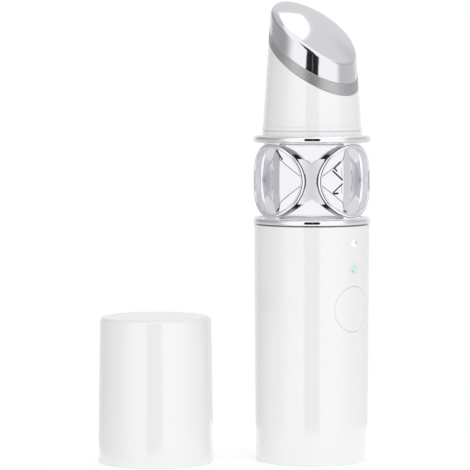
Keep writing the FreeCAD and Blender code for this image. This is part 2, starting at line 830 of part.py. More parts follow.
def make_window_cutter():
    """Eight three-sided windows, above and below the middle of each pillar."""
    body = new_body("window_cutter")
    start = "cage_bore_radius - 3 * cut_over"
    depth = "flange_radius + cut_over - (%s)" % start
    half_gap = "cage_gap / 2 - window_rim"
    pads = []
    for side in (1, -1):
        height = "cage_middle + %d * (%%s)" % side
        corner = height % ("%s - window_side" % half_gap)
        shoulder = height % "window_shoulder"
        sketch = new_sketch(body, "window_outline", "XZ_Plane", start, 45)
        draw_outline(sketch, [
            ("0", height % "window_tip"),
            ("window_shoulder_half", shoulder),
            ("window_flank_half", shoulder),
            ("window_top_half", corner),
            ("window_top_half", height % half_gap),
            ("-window_top_half", height % half_gap),
            ("-window_top_half", corner),
            ("-window_flank_half", shoulder),
            ("-window_shoulder_half", shoulder)])
        pads.append(pad(body, sketch, depth))
    polar_pattern(body, pads, 4)
    tops = [value("cage_middle + %d * (%s)" % (side, half_gap)) for side in (1, -1)]

    def top_corner(edge):
        height = edge.CenterOfMass.z
        level = edge.BoundBox.ZLength < 1e-6
        return (isinstance(edge.Curve, Part.Line) and level
                and min(abs(height - top) for top in tops) < 1e-6
                and abs(edge.Length - value(depth)) < 1e-3)

    dress(body, "Fillet", "window_rounding", top_corner)
    return body


def level_cylinder(name, radius, turn):
    """A cylinder that lies level through the cage's middle, turned about the upright axis."""
    rod = solid("Cylinder", name, Radius=radius, Height=2 * FAR)
    lying = FreeCAD.Rotation(FreeCAD.Vector(1, 0, 0), 90)
    rod.Placement.Rotation = FreeCAD.Rotation(FreeCAD.Vector(0, 0, 1), turn).multiply(lying)
    return bind(rod, Placement__Base__x="-%s * sin(%s)" % (FAR, turn),
                Placement__Base__y="%s * cos(%s)" % (FAR, turn),
                Placement__Base__z="cage_middle")


def make_hoops(bore):
    """Four hoops that stand proud of the web, their outer edges bevelled."""
    crest = cut("hoop_shell", upright_cylinder("crest_outside", "hoop_crest_radius",
                                               "core_foot", "core_top"), bore)
    outside = fuse("hoop_outside", level_cylinder("hoop_outside_front", "hoop_outer_radius", 0),
                   level_cylinder("hoop_outside_side", "hoop_outer_radius", 90))
    hoops = cut("hoop_rings", common("hoop_bands", crest, outside), make_hoop_holes("hoop_holes"))
    doc.recompute()
    crest_radius = value("hoop_crest_radius")

    def on_crest(edge):
        span = edge.LastParameter - edge.FirstParameter
        spots = [edge.valueAt(edge.FirstParameter + share * span) for share in (0.0, 0.3, 0.7)]
        return all(abs(math.hypot(spot.x, spot.y) - crest_radius) < 1e-3 for spot in spots)

    return chamfered("bevelled_hoops", hoops, "hoop_bevel", on_crest)


def make_hoop_holes(name):
    return fuse(name, level_cylinder(name + "_front", "hoop_inner_radius", 0),
                level_cylinder(name + "_side", "hoop_inner_radius", 90))


def make_jewel_cage():
    low = "core_foot - flange_thickness / 2"
    high = "core_top + flange_thickness / 2"
    bore = upright_cylinder("cage_bore", "cage_bore_radius", "cage_foot", "cage_top")
    web = cut("cage_web", upright_cylinder("web_outside", "web_radius", low, high), bore)
    pierced = cut("pierced_web", cut("windowed_web", web, make_window_cutter()),
                  make_hoop_holes("web_holes"))
    return fuse("jewel_cage", pierced, make_hoops(bore), make_flange("lower_flange", "cage_foot"),
                make_flange("upper_flange", "core_top"))


def make_faceted_core():
    """An eight-sided block with an upright strip in each opening.  Above and below the belt
    the strips and sides break, and towards each pillar lean two lens facets up and two down."""
    body = new_body("faceted_core")
    plan = new_sketch(body, "belt_plan", "XY_Plane", "core_foot")
    corners = []
    for quarter in range(4):
        for reach, turn in (("core_corner", 0), ("core_radius", 45)):
            angle = 90 * quarter + turn
            corners.append(("%s * cos(%d)" % (reach, angle), "%s * sin(%d)" % (reach, angle)))
    draw_outline(plan, corners)
    pad(body, plan, "cage_gap")
    facets = [cut_strip(body)]
    for side in (1, -1):
        turn = value("side_turn")
        for mirrored in (turn, 90 - turn):
            facets.append(cut_facet(body, "break_facet", mirrored, side,
                                    "core_radius * cos(45 - side_turn)", "belt_half",
                                    "break_lean"))
        turn = 45 - value("lens_turn")
        for mirrored in (turn, 90 - turn):
            facets.append(cut_facet(body, "lens_facet", mirrored, side,
                                    "core_radius - lens_setback", "0", "lens_lean"))
    polar_pattern(body, facets, 4)
    bore = new_sketch(body, "core_bore", "XY_Plane", "core_foot")
    draw_circle(bore, "0", "0", "tube_bore")
    pocket(body, bore, backwards=True)
    return body


def cut_strip(body):
    """The strip across one opening: upright in the belt, dipping in above it, then flaring."""
    past_end = "(cage_gap / 2 + cut_over)"
    outside = "core_radius + 3 * cut_over"
    above = [
        ("strip_reach", "belt_half"),
        ("strip_reach - crown_dip", "crown_neck"),
        ("strip_reach - crown_dip + tan(crown_flare) * (%s - crown_neck)" % past_end, past_end),
        (outside, past_end)]
    outline = [(reach, "cage_middle + %s" % rise) for reach, rise in above]
    outline += [(reach, "cage_middle - %s" % rise) for reach, rise in reversed(above)]
    sketch = new_sketch(body, "strip", "XZ_Plane")
    draw_outline(sketch, outline)
    return pocket(body, sketch, both_ways=True)


def cut_facet(body, name, turn, side, reach, start, lean):
    """A facet that faces the turn angle: its plane is at the reach where it starts, that far
    above or below the middle, and leans in from there."""
    height = "cage_middle + %d * (%%s)" % side
    past_end = "cage_gap / 2 + cut_over"
    outside = "core_radius + 3 * cut_over"
    sketch = new_sketch(body, name, "XZ_Plane", "0", turn)
    draw_outline(sketch, [
        (reach, height % start),
        (outside, height % start),
        (outside, height % past_end),
        ("%s - tan(%s) * (%s - %s)" % (reach, lean, past_end, start), height % past_end)])
    return pocket(body, sketch, both_ways=True)


def make_tie_tube():
    tube = turned_body("core_tube", [
        ("tube_radius - tube_wall", "tube_foot"),
        ("tube_radius", "tube_foot"),
        ("tube_radius", "tube_head"),
        ("tube_radius - tube_wall", "tube_head")])
    nuts = []
    for name, low in (("lower_nut", "end_wall_foot - nut_height"), ("upper_nut", "neck_floor_top")):
        hexagon = solid("Prism", name + "_hexagon", Circumradius="nut_radius",
                        Height="nut_height", Placement__Base__z=low)
        hole = upright_cylinder(name + "_hole", "tube_bore", "%s - cut_over" % low,
                                "%s + nut_height + cut_over" % low)
        nuts.append(cut(name, hexagon, hole))
    return [tube, group("tube_nuts", *nuts)]


def make_lead(places):
    """A round lead through (x, y, z) formulas, its corners eased."""
    corners = [FreeCAD.Vector(*[value(text) for text in place]) for place in places]
    edges = []
    here = corners[0]
    for before, corner, after in zip(corners, corners[1:], corners[2:]):
        back = before - corner
        ahead = after - corner
        half_angle = back.getAngle(ahead) / 2
        ease = min(value("wire_bend"), back.Length / 2, ahead.Length / 2)
        start = corner + back.normalize() * ease
        end = corner + ahead.normalize() * ease
        inwards = ease * (1 - math.sin(half_angle)) / math.cos(half_angle)
        middle = corner + (back + ahead).normalize() * inwards
        if here.distanceToPoint(start) > 1e-6:
            edges.append(Part.LineSegment(here, start).toShape())
        edges.append(Part.Arc(start, middle, end).toShape())
        here = end
    edges.append(Part.LineSegment(here, corners[-1]).toShape())
    ring = Part.makeCircle(value("wire_radius"), corners[0], edges[0].tangentAt(0))
    return Part.Wire(edges).makePipeShell([Part.Wire(ring)], True, False)


def make_head_wires():
    """Four leads: from the board's head down the tie tube, then two to the motor's end, one
    to the sensor and one to the heater."""
    doc.recompute()
    near = "(tube_radius - tube_wall - wire_radius - 2 * fit_gap) * sin(45)"
    level = "tube_foot - wire_bend"
    above_tube = "tube_head + wire_bend"
    face_fall = "thermistor_offset * thermistor_offset / (2 * crown_radius)"
    film_side = ("plate_foot + (carrier_plate - %s) / cos(slant) - wire_radius * slant_rate"
                 % face_fall)
    leads = []
    for side, end in ((1, "plate_foot"), (-1, film_side)):
        x = "%d * %s" % (side, near)
        spread = "%d * wire_spread" % side
        outer = "%d * thermistor_offset" % side
        leads.append(make_lead([(x, "-board_back", level), (x, "-" + near, level),
                                (x, "-" + near, "motor_foot")]))
        leads.append(make_lead([(spread, "-board_back", level), (spread, near, level),
                                (x, near, level), (x, near, above_tube),
                                (outer, "0", "motor_can_foot"), (outer, "0", end)]))
    wires = doc.addObject("Part::Feature", "head_wires")
    wires.Shape = Part.makeCompound(leads)
    return wires


# ---- neck and collar ----

def make_neck_collar():
    foot = "cage_top"
    notch = "cage_top + collar_groove_height"
    body = turned_body("neck_collar", [
        ("collar_radius - collar_thickness", foot),
        ("collar_radius", foot),
        ("collar_radius", "%s - collar_groove / 2" % notch),
        ("collar_radius - collar_groove", notch),
        ("collar_radius", "%s + collar_groove / 2" % notch),
        ("collar_radius", "neck_foot"),
        ("collar_radius - collar_thickness", "neck_foot")])
    dress(body, "Chamfer", "seam_bevel", rim_at("neck_foot", "collar_radius"))
    return body


def neck_radius(height, wall="0"):
    """The radius of the neck's cone at a height, less a wall."""
    return "neck_foot_radius - ((%s) - (neck_foot)) * taper_rate - (%s)" % (height, wall)


def half_plane(centre, upper):
    """Points of a large outline above or below the slanted plane through a centre height."""
    low = "(%s) - %s * slant_rate" % (centre, FAR)
    high = "(%s) + %s * slant_rate" % (centre, FAR)
    edge = "(%s) + %s" % (centre, 2 * FAR) if upper else "(%s) - %s" % (centre, 2 * FAR)
    return [(-FAR, low), (FAR, high), (FAR, edge), (-FAR, edge)]


def cut_slanted(body, name, centre, upper):
    sketch = draw_outline(new_sketch(body, name, "YZ_Plane"), half_plane(centre, upper))
    pocket(body, sketch, both_ways=True)


def make_neck_shell():
    top = "slant_height + %s" % (FAR / 2)
    seat = "collar_radius - collar_thickness - fit_gap"
    body = turned_body("neck_shell", [
        ("tube_bore", "core_top"),
        ("spigot_radius", "core_top"),
        ("spigot_radius", "cage_top"),
        (seat, "cage_top"),
        (seat, "neck_foot"),
        (neck_radius("neck_foot"), "neck_foot"),
        (neck_radius(top), top),
        (neck_radius(top, "neck_wall"), top),
        (neck_radius("neck_foot", "neck_wall"), "neck_foot"),
        ("collar_radius - 2 * collar_thickness - fit_gap", "neck_foot"),
        ("collar_radius - 2 * collar_thickness - fit_gap", "neck_floor_top"),
        ("tube_bore", "neck_floor_top")])
    cut_slanted(body, "neck_cut", "slant_height", True)
    return body


# ---- slanted head ----

def head_cone(name, wall):
    """The neck's cone carried on into the head, less a wall."""
    foot = "neck_foot"
    head = "slant_height + %s" % (FAR / 2)
    return solid("Cone", name, Radius1=neck_radius(foot, wall), Radius2=neck_radius(head, wall),
                 Height="(%s) - (%s)" % (head, foot), Placement__Base__z=foot)


def slab(name, centre, upper):
    """A block on one side of the slanted plane through a centre height."""
    block = solid("Box", name, Length=2 * FAR, Width=2 * FAR, Height=2 * FAR)
    block.Placement.Rotation = FreeCAD.Rotation(FreeCAD.Vector(1, 0, 0), value("slant"))
    drop = "0" if upper else str(2 * FAR)
    bind(block, Placement__Rotation__Angle="slant", Placement__Base__x=-FAR,
         Placement__Base__y="(%s) * sin(slant) - %s * cos(slant)" % (drop, FAR),
         Placement__Base__z="(%s) - (%s) * cos(slant) - %s * sin(slant)" % (centre, drop, FAR))
    return block


def crown(name, depth):
    """The sphere whose top is the crowned face, less a depth below the face."""
    return solid("Sphere", name, Radius="crown_radius - (%s)" % depth,
                 Placement__Base__y="crown_radius * sin(slant)",
                 Placement__Base__z="face_height - crown_radius * cos(slant)")


def make_trim_ring():
    band = common("ring_band", head_cone("ring_outside", "0"),
                  slab("ring_above", "slant_height", True), slab("ring_below", "ring_top", False))
    ring = cut("ring_plain", band, head_cone("ring_inside", "ring_wall"))
    doc.recompute()
    reach = value(neck_radius("ring_top", "ring_wall / 2"))
    return chamfered("trim_ring", ring, "ring_edge",
                     lambda edge: edge.isClosed() and edge.BoundBox.XMax > reach)


def make_massage_head():
    outside = common("head_outside", head_cone("head_cone_out", "head_step"),
                     slab("head_above", "ring_top", True), crown("face_crown", "0"))
    doc.recompute()
    rounded = doc.addObject("Part::Fillet", "head_rounded")
    rounded.Base = outside
    size = value("face_rounding")
    rims = {edge.BoundBox.ZMax: i for i, edge in enumerate(outside.Shape.Edges, start=1)
            if edge.isClosed()}
    rounded.Edges = [(rims[max(rims)], size, size)]
    inside = common("head_inside", head_cone("head_cone_in", "head_step + head_wall"),
                    crown("face_inside", "head_wall"))
    return cut("massage_head", rounded, inside)


def make_head_carrier():
    """The moulded plug inside the head: plate under the face, skirt, and motor socket."""
    gap = "head_wall + fit_gap"
    skirt = "neck_wall + fit_gap"
    cap = common("carrier_cap", head_cone("carrier_cone", skirt),
                 slab("carrier_floor", "ring_top - carrier_depth", True),
                 crown("carrier_crown", gap + " + film_thickness + fit_gap"))
    inner_cone = head_cone("carrier_inner_cone", skirt + " + carrier_wall")
    room = common("carrier_room", inner_cone, slab("carrier_below", "plate_foot", False))
    socket = common("carrier_socket",
                    upright_cylinder("socket_outside", "sleeve_radius + carrier_wall",
                                     "motor_can_foot", "face_height"),
                    slab("socket_top", "plate_foot + carrier_wall", False))
    outer = fuse("carrier_outer", cut("carrier_skirt", cap, room), socket)
    past_face = "face_height + film_radius"
    bore = common("socket_bore", upright_cylinder("socket_inside", "sleeve_radius + fit_gap",
                                                  "neck_foot", past_face),
                  slab("socket_below", "plate_foot", False))
    sensor = upright_cylinder("sensor_hole", "thermistor_radius + fit_gap", "neck_foot",
                              past_face, "thermistor_offset", "0")
    heater_lead = upright_cylinder("heater_lead_hole", "wire_radius + fit_gap", "neck_foot",
                                   past_face, "-thermistor_offset", "0")
    return cut("head_carrier", outer, fuse("carrier_cuts", bore, sensor, heater_lead))


def make_heater():
    depth = "head_wall + fit_gap"
    disc = upright_cylinder("film_disc", "film_radius", "slant_height",
                            "face_height + film_radius")
    film = cut("heater_film", common("film_top", disc, crown("film_crown", depth)),
               crown("film_under", depth + " + film_thickness"))
    under = "face_height - (head_wall + film_thickness + 3 * fit_gap) / cos(slant)"
    bead = upright_cylinder("thermistor", "thermistor_radius", "plate_foot",
                            "%s - thermistor_dip" % under, "thermistor_offset", "0")
    return [film, bead]


# ---- vibration motor ----

def make_motor():
    can = cut("motor_can",
              upright_cylinder("can_outside", "motor_radius", "motor_can_foot", "motor_can_head"),
              upright_cylinder("can_bore", "shaft_radius + shaft_gap",
                               "motor_can_head - shaft_inside - shaft_gap * 4",
                               "motor_can_head + cut_over"))
    end_cap = upright_cylinder("motor_end_cap", "motor_radius - fit_gap", "motor_foot",
                               "motor_can_foot")
    shaft = upright_cylinder("motor_shaft", "shaft_radius", "motor_can_head - shaft_inside",
                             "motor_can_head + shaft_reach")
    half_round = upright_cylinder("weight_half", "weight_radius", "weight_foot", "weight_head")
    half_round.Angle = 180
    boss = upright_cylinder("weight_boss_round", "weight_boss", "weight_foot", "weight_head")
    hole = upright_cylinder("weight_hole", "shaft_radius", "weight_foot - cut_over",
                            "weight_head + cut_over")
    weight = cut("eccentric_weight", fuse("weight_whole", half_round, boss), hole)
    sleeve = cut("motor_sleeve",
                 upright_cylinder("sleeve_outside", "sleeve_radius", "motor_can_foot",
                                  "motor_can_head - sleeve_drop"),
                 upright_cylinder("sleeve_bore", "motor_radius", "motor_foot", "motor_can_head"))
    return [can, end_cap, shaft, weight, sleeve]


# ---- cap ----

def place_cap(part):
    return bind(part, Placement__Base__x="cap_x", Placement__Base__y="cap_y")


def make_cap():
    shell = turned_body("cap_shell", [
        ("cap_mouth_radius - cap_wall", "0"),
        ("cap_mouth_radius", "0"),
        ("cap_top_radius", "cap_height"),
        ("0", "cap_height"),
        ("0", "cap_height - cap_roof"),
        ("cap_top_radius - cap_wall", "cap_height - cap_roof")])
    dress(shell, "Fillet", "cap_rounding", rim_at("cap_height", "cap_top_radius"))
    dress(shell, "Chamfer", "mouth_bevel", rim_at("0", "cap_mouth_radius"))
    outer = "cap_mouth_radius - cap_wall - liner_gap"
    lean = "(cap_mouth_radius - cap_top_radius) / cap_height"
    inner = "collar_radius + liner_gap"
    grip = "liner_lift + collar_groove_height"
    liner = turned_body("cap_liner", [
        (inner, "liner_lift"),
        ("%s - %s * liner_lift" % (outer, lean), "liner_lift"),
        ("%s - %s * (liner_lift + liner_height)" % (outer, lean), "liner_lift + liner_height"),
        (inner, "liner_lift + liner_height"),
        (inner, "%s + 3 * grip_ridge" % grip),
        ("%s - grip_ridge" % inner, grip),
        (inner, "%s - 3 * grip_ridge" % grip)])
    return [place_cap(shell), place_cap(liner)]


def check_document():
    """Every object is up to date, and every sub-part is a sound solid."""
    doc.recompute()
    for item in doc.Objects:
        if "Invalid" in item.State or "Error" in item.State:
            raise RuntimeError("%s failed: %s" % (item.Name, item.State))


parts = [
    make_handle_casing(),
    make_base_cover(),
    *make_charging_port(),
    make_power_button(),
    *make_switch(),
    make_light_guide("upper_light_window", "upper_light_height"),
    make_light_guide("lower_light_window", "lower_light_height"),
    make_indicator_leds(),
    make_main_board(),
    make_board_chips(),
    *make_battery(),
    make_chassis(),
    make_chassis_screws(),
    make_jewel_cage(),
    make_faceted_core(),
    *make_tie_tube(),
    make_head_wires(),
    make_neck_collar(),
    make_neck_shell(),
    make_trim_ring(),
    make_massage_head(),
    make_head_carrier(),
    *make_heater(),
    *make_motor(),
    *make_cap(),
]
check_document()
os.makedirs("parts", exist_ok=True)
for part in parts:
    part.Label = part.Name
    shape = part.Shape
    if shape.isNull() or not shape.isValid():
        raise RuntimeError("%s has no sound shape" % part.Name)
    shape.exportStep("parts/%s.step" % part.Name)
    print(part.Name, len(shape.Solids), round(shape.Volume, 2))
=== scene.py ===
import json
import math

import bmesh
import bpy
from mathutils import Matrix, Vector


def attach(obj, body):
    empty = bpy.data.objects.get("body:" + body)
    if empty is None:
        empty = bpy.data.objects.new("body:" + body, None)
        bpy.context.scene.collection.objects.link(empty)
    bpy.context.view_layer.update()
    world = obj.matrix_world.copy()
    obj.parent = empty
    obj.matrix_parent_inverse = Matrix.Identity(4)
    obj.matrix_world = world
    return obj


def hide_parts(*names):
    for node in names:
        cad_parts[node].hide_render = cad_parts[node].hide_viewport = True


# Looks of the heated eye massager wand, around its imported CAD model.  Metres; the origin
# is the centre of the wand's foot, +Z runs up the wand and -Y is its front.

MM = 0.001
DEGREE = math.radians(1)
UP = (0.0, 0.0, 1.0)
LEVEL = (1.0, 1.0, 0.0)
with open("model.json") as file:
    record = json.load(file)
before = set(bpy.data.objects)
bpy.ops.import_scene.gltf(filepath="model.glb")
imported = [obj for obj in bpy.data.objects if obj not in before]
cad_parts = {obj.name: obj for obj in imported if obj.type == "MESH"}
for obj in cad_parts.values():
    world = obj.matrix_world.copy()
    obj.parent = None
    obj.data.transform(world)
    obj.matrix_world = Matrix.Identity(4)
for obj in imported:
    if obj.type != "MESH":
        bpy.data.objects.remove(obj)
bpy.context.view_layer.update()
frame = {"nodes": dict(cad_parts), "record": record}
nodes = frame["nodes"]
slots = {part["node"]: part["material_slot"] for part in frame["record"]["subparts"]}

# The photograph's viewpoint.
CAMERA_PLACE = Vector((-0.5320, -0.5020, 0.1064))
CAMERA_TURN = math.radians(45.0)
CAMERA_TILT = math.radians(3.45)
CAMERA_LENS = 203.0
SENSOR_WIDTH = 36.0
NEAR_LIMIT = 0.01
FAR_LIMIT = 50.0

# Places and sizes of the solids, as in the CAD model.
CASING_TOP = 65.5 * MM
LIGHT_FRONT = -15.8 * MM
LOWER_LIGHT = (0.0, LIGHT_FRONT, 53.6 * MM)
BUTTON_HEIGHT = 42.7 * MM
BUTTON_RADIUS = 6.1 * MM
HEAD_SLANT = math.radians(35.6)
CAGE_HEIGHT = 24.3 * MM
CAGE_MIDDLE = CASING_TOP + CAGE_HEIGHT / 2
CAGE_BORE = 14.1 * MM
FLANGE_RADIUS = 16.2 * MM
FLANGE_THICKNESS = 1.75 * MM
WEB_RADIUS = 15.6 * MM
HOOP_RADIUS = 9.45 * MM
OPENING_RADIUS = 8.83 * MM
FRONT_PILLAR = Vector((-math.sqrt(0.5), -math.sqrt(0.5), 0.0))
LENS_TURN = 15.5  # degrees from the middle of a pillar to the normal of its lens facets

# The collar and the core are turned about the wand's axis, as the photograph has them.
COLLAR_TURN = math.radians(-2.2)


# ---- shader nodes ----

NOISE_DETAIL = 3.0
TONE_ENDS = (0.35, 0.65)  # the stretch of a noise over which one tone turns into the other
# The Mix node's data types, with its sockets for the first and second value and the outcome.
MIX_NUMBERS = ("FLOAT", 2, 3, 0)
MIX_COLOURS = ("RGBA", 6, 7, 2)


def add(tree, kind, **inputs):
    """A shader node with some of its inputs set."""
    node = tree.nodes.new("ShaderNode" + kind)
    for name, given in inputs.items():
        node.inputs[name.replace("_", " ")].default_value = given
    return node


def feed(tree, node, given):
    """Feed a node's first inputs, each with a fixed value or with another node's output."""
    for socket, one in zip(node.inputs, given):
        if isinstance(one, bpy.types.NodeSocket):
            tree.links.new(one, socket)
        else:
            socket.default_value = one


def maths(tree, operation, *given):
    """What an operation makes of numbers and other nodes' outputs."""
    node = add(tree, "Math")
    node.operation = operation
    feed(tree, node, given)
    return node.outputs["Value"]


def vector_maths(tree, operation, *given):
    """What an operation makes of vectors and other nodes' outputs."""
    node = add(tree, "VectorMath")
    node.operation = operation
    feed(tree, node, given)
    makes_number = operation in ("DOT_PRODUCT", "DISTANCE", "LENGTH")
    return node.outputs["Value" if makes_number else "Vector"]


def place(tree):
    """Where a point of a surface lies in the CAD model's frame."""
    return add(tree, "TexCoord").outputs["Object"]


def distance(tree, point):
    """How far the surface is from a point."""
    return vector_maths(tree, "DISTANCE", place(tree), point)


def component(tree, direction):
    """How far the surface lies along a direction."""
    return vector_maths(tree, "DOT_PRODUCT", place(tree), direction)


def height_from(tree, height):
    """How far the surface is above or below a height."""
    upright = vector_maths(tree, "MULTIPLY", place(tree), UP)
    return vector_maths(tree, "DISTANCE", upright, (0.0, 0.0, height))


def axis_distance(tree):
    """How far the surface is from the wand's axis."""
    return vector_maths(tree, "LENGTH", vector_maths(tree, "MULTIPLY", place(tree), LEVEL))


def spread(tree, source, low, high):
    """The source's 0 to 1 turned into low to high."""
    node = add(tree, "MapRange", To_Min=low, To_Max=high)
    tree.links.new(source, node.inputs["Value"])
    return node.outputs["Result"]


def fading(tree, source, full, none, unit=MM):
    """1 where the source is at full, 0 where it is at none, smooth between."""
    node = add(tree, "MapRange", From_Min=none * unit, From_Max=full * unit)
    node.interpolation_type = "SMOOTHSTEP"
    tree.links.new(source, node.inputs["Value"])
    return node.outputs["Result"]


def noise(tree, size, stretch, turn):
    """Noise whose features are about size millimetres across."""
    mapping = add(tree, "Mapping", Rotation=turn, Scale=stretch)
    texture = add(tree, "TexNoise", Scale=1.0 / (size * MM), Detail=NOISE_DETAIL)
    tree.links.new(place(tree), mapping.inputs["Vector"])
    tree.links.new(mapping.outputs["Vector"], texture.inputs["Vector"])
    return texture.outputs["Fac"]


def two_tones(tree, source, first, second):
    """The first colour where the source is low, the second where it is high."""
    ramp = add(tree, "ValToRGB")
    for element, end, colour in zip(ramp.color_ramp.elements, TONE_ENDS, (first, second)):
        element.position = end
        element.color = (*colour, 1.0)
    tree.links.new(source, ramp.inputs["Fac"])
    return ramp.outputs["Color"]


def bump(tree, shader, source, height):
    """Relief that is height millimetres deep."""
    node = add(tree, "Bump", Distance=height * MM)
    tree.links.new(source, node.inputs["Height"])
    tree.links.new(node.outputs["Normal"], shader.inputs["Normal"])


def lay_over(made, socket, mask, given):
    """Mix a number or a colour over what feeds a material's socket, where the mask is 1."""
    tree = made.node_tree
    target = tree.nodes["Principled BSDF"].inputs[socket]
    is_colour = isinstance(given, tuple)
    kind, first, second, outcome = MIX_COLOURS if is_colour else MIX_NUMBERS
    node = add(tree, "Mix")
    node.data_type = kind
    tree.links.new(mask, node.inputs[0])
    tree.links.new(target.links[0].from_socket, node.inputs[first])
    node.inputs[second].default_value = (*given, 1.0) if is_colour else given
    tree.links.new(node.outputs[outcome], target)


# ---- materials ----

FINISHES = {}


def material(name, colour, roughness, vary=0.03, size=6.0, grain=0.4, relief=0.002,
             stretch=(1.0, 1.0, 1.0), turn=(0.0, 0.0, 0.0), shade=0.97, **fixed):
    """A finish whose tone and gloss drift over size millimetres, down to shade of the colour
    and by vary of the roughness, and whose relief is as fine as its grain."""
    made = bpy.data.materials.new(name)
    made.use_nodes = True
    tree = made.node_tree
    shader = tree.nodes["Principled BSDF"]
    drift = noise(tree, size, stretch, turn)
    darker = tuple(channel * shade for channel in colour)
    tree.links.new(two_tones(tree, drift, darker, colour), shader.inputs["Base Color"])
    tree.links.new(spread(tree, drift, roughness - vary, roughness + vary),
                   shader.inputs["Roughness"])
    bump(tree, shader, noise(tree, grain, stretch, turn), relief)
    for socket, given in fixed.items():
        shader.inputs[socket.replace("_", " ")].default_value = given
    FINISHES[name] = made


def metal(name, colour, roughness, **rest):
    material(name, colour, roughness, Metallic=1.0, **rest)


material("white_shell", (0.845, 0.845, 0.85), 0.16, vary=0.02, size=9.0, grain=1.6,
         relief=0.0006, shade=0.992, Coat_Weight=1.0, Coat_Roughness=0.07)
material("white_button", (0.845, 0.845, 0.85), 0.17, vary=0.02, size=4.0, grain=1.2,
         relief=0.0006, shade=0.992, Coat_Weight=1.0, Coat_Roughness=0.07)
material("inner_white", (0.78, 0.78, 0.76), 0.5, vary=0.06, grain=0.3)
# Its faint emission lights only the web between the hoops, as a painted glow.
metal("polished_cage", (0.86, 0.855, 0.885), 0.055, vary=0.015, size=3.0, grain=0.9,
      relief=0.0005, shade=0.985, Emission_Strength=0.1)
metal("cage_strips", (0.72, 0.715, 0.745), 0.1, size=3.0, grain=0.9, relief=0.0005)
metal("polished_head", (0.80, 0.795, 0.83), 0.09, vary=0.015, size=3.0, grain=1.4,
      relief=0.0004, shade=0.985)
metal("satin_ring", (0.55, 0.55, 0.57), 0.42, vary=0.07, size=0.7, grain=0.12, relief=0.0012,
      stretch=(0.12, 0.12, 2.4), turn=(-HEAD_SLANT, 0.0, 0.0), shade=0.9)
metal("jewel_mirror", (0.82, 0.81, 0.85), 0.04, vary=0.01, size=2.0, grain=0.8, relief=0.0003,
      shade=0.985)
# Also lays the core's dark edges as painted reflections, and the beads' dark foot line as
# painted shade.
metal("jewel_edge", (0.16, 0.155, 0.18), 0.2, size=2.0, grain=0.8, relief=0.0003)
material("clear_window", (0.9, 0.94, 0.94), 0.2, grain=0.2, Emission_Strength=0.5)
material("board_green", (0.03, 0.16, 0.08), 0.35, size=1.4, grain=0.6, relief=0.01, shade=0.7)
material("chip_black", (0.02, 0.02, 0.022), 0.55, grain=0.1)
material("lamp_yellow", (0.88, 0.8, 0.42), 0.4, size=0.5, grain=0.1)
metal("port_steel", (0.66, 0.66, 0.68), 0.26, vary=0.05, size=0.8, grain=0.2,
      stretch=(1.0, 1.0, 0.1), shade=0.93)
metal("tab_nickel", (0.66, 0.63, 0.56), 0.35, vary=0.06, size=0.8, grain=0.2,
      stretch=(0.1, 1.0, 1.0), shade=0.92)
metal("screw_steel", (0.5, 0.5, 0.52), 0.32, vary=0.05, size=0.5, grain=0.1, shade=0.9)
metal("tie_brass", (0.72, 0.5, 0.2), 0.28, vary=0.05, size=0.8, grain=0.15,
      stretch=(0.2, 0.2, 2.0), shade=0.92)
material("cell_wrap", (0.05, 0.16, 0.4), 0.24, size=3.0, grain=1.0, relief=0.004)
material("foam_grey", (0.09, 0.09, 0.095), 0.92, size=0.9, grain=0.25, relief=0.06, shade=0.75)
metal("motor_steel", (0.56, 0.56, 0.58), 0.24, vary=0.05, size=0.9, grain=0.2,
      stretch=(0.2, 0.2, 2.0), shade=0.93)
metal("weight_metal", (0.36, 0.36, 0.38), 0.42, vary=0.06, size=0.6, grain=0.12, relief=0.006,
      shade=0.88)
material("sleeve_rubber", (0.025, 0.025, 0.026), 0.7, grain=0.3, relief=0.006)
material("heater_amber", (0.5, 0.17, 0.02), 0.3, size=1.6, grain=0.5, relief=0.004, shade=0.8)
material("wire_red", (0.45, 0.03, 0.02), 0.45, size=1.0, grain=0.3)


# What is painted over the finishes at fixed places: colours, painted glow, painted shade and
# painted light, and where dark spots lie.
GLOW_TINT = (0.72, 0.83, 0.825)
SEAM_SHADE_TINT = (0.10, 0.10, 0.105)
WEB_TINT = (0.95, 0.945, 0.965)
WEB_PAINTED_GLOW = (0.96, 0.94, 1.0)
WEB_ROUGHNESS = 0.5
# Painted shade and painted light on the windows' side walls.
WALL_PAINTED_SHADE = (0.02, 0.02, 0.02)
WALL_PAINTED_LIGHT = (0.85, 0.85, 0.87)
UPPER_EMISSION = (1.0, 1.0, 1.0)
LOWER_EMISSION = (0.14, 0.3, 0.3)
LOWER_TINT = (0.5, 0.72, 0.72)
SPOT_TINT = (0.32, 0.38, 0.37)
# The upper lamp's dark side is painted shade.
UPPER_SHADE_SPOT = (0.85 * MM, LIGHT_FRONT, 60.9 * MM)
LOWER_SPOT = (-0.6 * MM, LIGHT_FRONT, 53.0 * MM)
UNLIT = (0.0, 0.0, 0.0)
STROKE_TINT = (0.03, 0.03, 0.035)
STROKE_SOFT = 0.08  # millimetres on either side of a stroke's rim
# Strokes of reflection on the core, seen from before the front pillar: start and end as side
# and rise from the collar's middle, half width (millimetres), depth of tone.
STROKES = [
    (5.85, 2.77, 8.35, 0.38, 0.22, 1.0),
    (8.35, -0.79, 5.96, -3.07, 0.18, 1.0),
    (6.1, -3.4, 7.15, -3.3, 0.27, 1.0),
    (6.1, 3.55, 7.8, 5.15, 0.25, 1.0),
    (8.24, 3.5, 8.24, 0.9, 0.1, 0.45),
    (8.24, -1.0, 8.24, -3.4, 0.1, 0.45),
    (6.28, 3.5, 6.9, 2.77, 0.2, 1.0),
    (-9.45, 8.2, -8.0, 5.9, 0.22, 1.0),
    (-9.5, -8.4, -8.8, -7.4, 0.17, 1.0),
    (8.8, -8.1, 9.5, -8.45, 0.2, 0.9),
]


